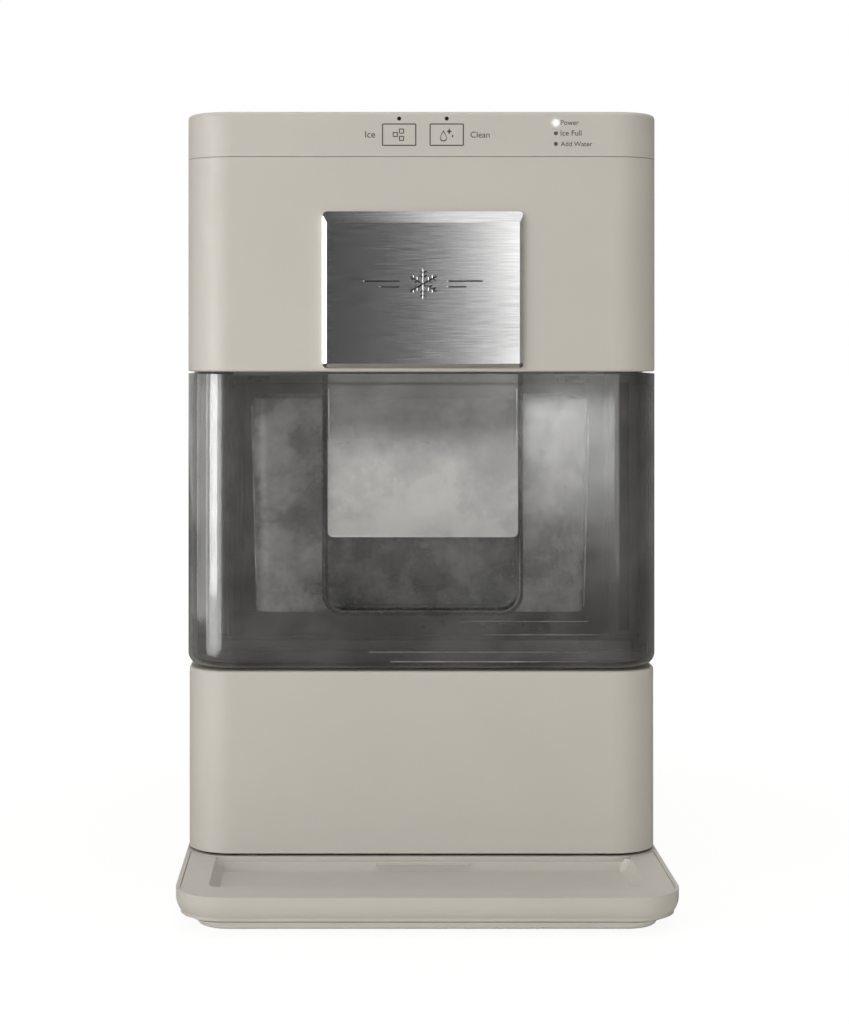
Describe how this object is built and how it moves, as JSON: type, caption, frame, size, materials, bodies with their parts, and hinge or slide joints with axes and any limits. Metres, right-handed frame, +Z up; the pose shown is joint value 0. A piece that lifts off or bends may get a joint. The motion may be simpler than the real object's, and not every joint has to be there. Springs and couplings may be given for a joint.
{
  "type": "countertop nugget ice maker",
  "caption": "Countertop nugget ice maker: beige cabinet, smoked pull-out ice bin with a hand pocket, brushed steel plate and lift-out drip tray.",
  "frame": {"origin": "centre of the footprint's box, on the surface that the feet stand on", "axes": "+Z up, the front with the bin faces -Y, +X to the right seen from the front"},
  "size_m": [0.264, 0.441, 0.4336],
  "materials": {
    "shell_beige": "fine matte moulded plastic",
    "plinth_beige": "fine matte moulded plastic",
    "smoked_clear": "smoked clear moulded plastic, glossy",
    "clear_plastic": "clear moulded plastic, glossy",
    "misted_clear": "clear plastic misted by cold",
    "plate_steel": "stainless steel, brushed from side to side",
    "lens": "dark lens",
    "rubber_black": "black rubber",
    "seal_grey": "soft grey seal",
    "rear_grey": "powder-coated sheet",
    "screw_steel": "zinc plated",
    "liner_white": "white food-safe plastic",
    "foam": "rigid foam",
    "jacket_foam": "black closed-cell foam",
    "tank_plastic": "milky translucent plastic",
    "white_plastic": "white nylon",
    "float_foam": "white foamed plastic",
    "black_plastic": "black moulded plastic",
    "impeller_plastic": "blue acetal",
    "hose_clear": "translucent silicone",
    "motor_steel": "zinc plated steel",
    "bracket_steel": "galvanised steel",
    "gear_steel": "machined steel",
    "stainless": "machined stainless steel",
    "bush_bronze": "sintered bronze",
    "copper": "drawn copper tube",
    "compressor_black": "black enamel on pressed steel",
    "fin_aluminium": "thin aluminium sheet",
    "board_green": "printed circuit board"
  },
  "bodies": {
    "cabinet": {"top_cover": "shell_beige", "indicator_lenses": "lens", "touch_board": "board_green", "upper_front_panel": "shell_beige", "lower_front_panel": "shell_beige", "left_side_panel": "shell_beige", "right_side_panel": "shell_beige", "rear_panel": "rear_grey", "rear_screws": "screw_steel", "badge_plate": "plate_steel", "base_pan": "shell_beige", "bottom_plate": "plinth_beige", "rubber_feet": "rubber_black", "bin_liner": "liner_white", "liner_insulation": "foam", "ice_chute": "liner_white", "ice_level_sensors": "black_plastic", "reservoir": "tank_plastic", "reservoir_lid": "tank_plastic", "fill_strainer": "white_plastic", "float_stem": "white_plastic", "pump_body": "black_plastic", "water_hoses": "hose_clear", "drain_spigot": "black_plastic", "gear_motor": "motor_steel", "gearbox_housing": "white_plastic", "gearbox_cover": "white_plastic", "tower_bracket": "bracket_steel", "evaporator_barrel": "stainless", "auger_bushes": "bush_bronze", "extruder_head": "white_plastic", "evaporator_coil": "copper", "evaporator_insulation": "jacket_foam", "compressor_shell": "compressor_black", "compressor_mount": "compressor_black", "compressor_grommets": "rubber_black", "terminal_cover": "black_plastic", "condenser_tubes": "copper", "condenser_fins": "fin_aluminium", "fan_shroud": "black_plastic", "filter_drier": "copper", "discharge_tube": "copper", "liquid_tube": "copper", "capillary_tube": "copper", "suction_tube": "copper", "board_tray": "black_plastic", "main_board": "board_green", "power_inlet": "black_plastic"},
    "ice_bin": {"bin_tub": "smoked_clear", "bin_grip_panel": "clear_plastic", "ice_basket": "misted_clear", "bin_seal": "seal_grey"},
    "tray": {"drip_tray": "shell_beige"},
    "auger": {"auger_screw": "stainless", "output_gear": "gear_steel"},
    "pinion": {"motor_pinion": "gear_steel"},
    "fan": {"fan_rotor": "black_plastic"},
    "impeller": {"pump_impeller": "impeller_plastic"},
    "float": {"level_float": "float_foam"},
    "cap": {"drain_cap": "black_plastic"}
  },
  "joints": [
    {"name": "bin_slide", "type": "slide", "parent": "cabinet", "child": "ice_bin", "axis": [0, -1, 0], "range_m": [0, 0.12]},
    {"name": "tray_lift", "type": "slide", "parent": "cabinet", "child": "tray", "axis": [0, 0, 1], "range_m": [0, 0.03]},
    {"name": "auger_spin", "type": "hinge", "parent": "cabinet", "child": "auger", "pos_m": [-0.045, 0.135, 0.2], "axis": [0, 0, 1], "continuous": true},
    {"name": "pinion_spin", "type": "hinge", "parent": "cabinet", "child": "pinion", "pos_m": [-0.08875, 0.135, 0.06], "axis": [0, 0, 1], "continuous": true},
    {"name": "fan_spin", "type": "hinge", "parent": "cabinet", "child": "fan", "pos_m": [0.0745, 0.135, 0.295], "axis": [1, 0, 0], "continuous": true},
    {"name": "impeller_spin", "type": "hinge", "parent": "cabinet", "child": "impeller", "pos_m": [0.005, 0.079, 0.02], "axis": [0, 0, 1], "continuous": true},
    {"name": "float_rise", "type": "slide", "parent": "cabinet", "child": "float", "axis": [0, 0, 1], "range_m": [-0.02, 0.034]},
    {"name": "cap_pull", "type": "slide", "parent": "cabinet", "child": "cap", "axis": [0, 1, 0], "range_m": [0, 0.03]}
  ],
  "couplings": [
    {"joint": "pinion_spin", "follows": "auger_spin", "ratio": -4}
  ]
}
